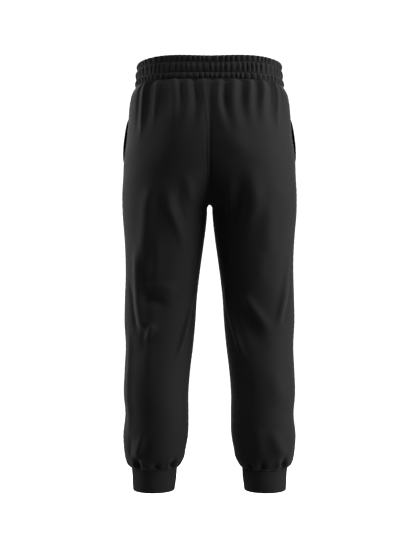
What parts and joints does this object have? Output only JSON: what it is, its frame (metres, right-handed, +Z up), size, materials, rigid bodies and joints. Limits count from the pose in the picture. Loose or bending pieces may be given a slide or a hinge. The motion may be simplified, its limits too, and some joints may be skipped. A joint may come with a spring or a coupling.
{
  "type": "jogger sweatpants",
  "caption": "Tapered jogger sweatpants in black fleece with a gathered elastic waistband, side-seam pockets and rib-knit ankle cuffs, filled out as worn.",
  "frame": {"origin": "the middle of the ring of the waistband, 26 mm below its top edge, where the wearer's waist holds the garment", "axes": "+Z up towards the waist opening, -Y towards the front of the garment, +X towards the wearer's left"},
  "size_m": [0.4218, 0.2823, 1.0298],
  "materials": {
    "leg_fleece": "matte",
    "waistband_fleece": "matte",
    "rib_knit": "matte",
    "pocket_cloth": "matte"
  },
  "bodies": {
    "root": {"waistband": "waistband_fleece", "front_left": "leg_fleece", "front_right": "leg_fleece", "back_left": "leg_fleece", "back_right": "leg_fleece", "pocket_bag_left": "pocket_cloth", "pocket_bag_right": "pocket_cloth", "cuff_left": "rib_knit", "cuff_right": "rib_knit"}
  },
  "joints": []
}
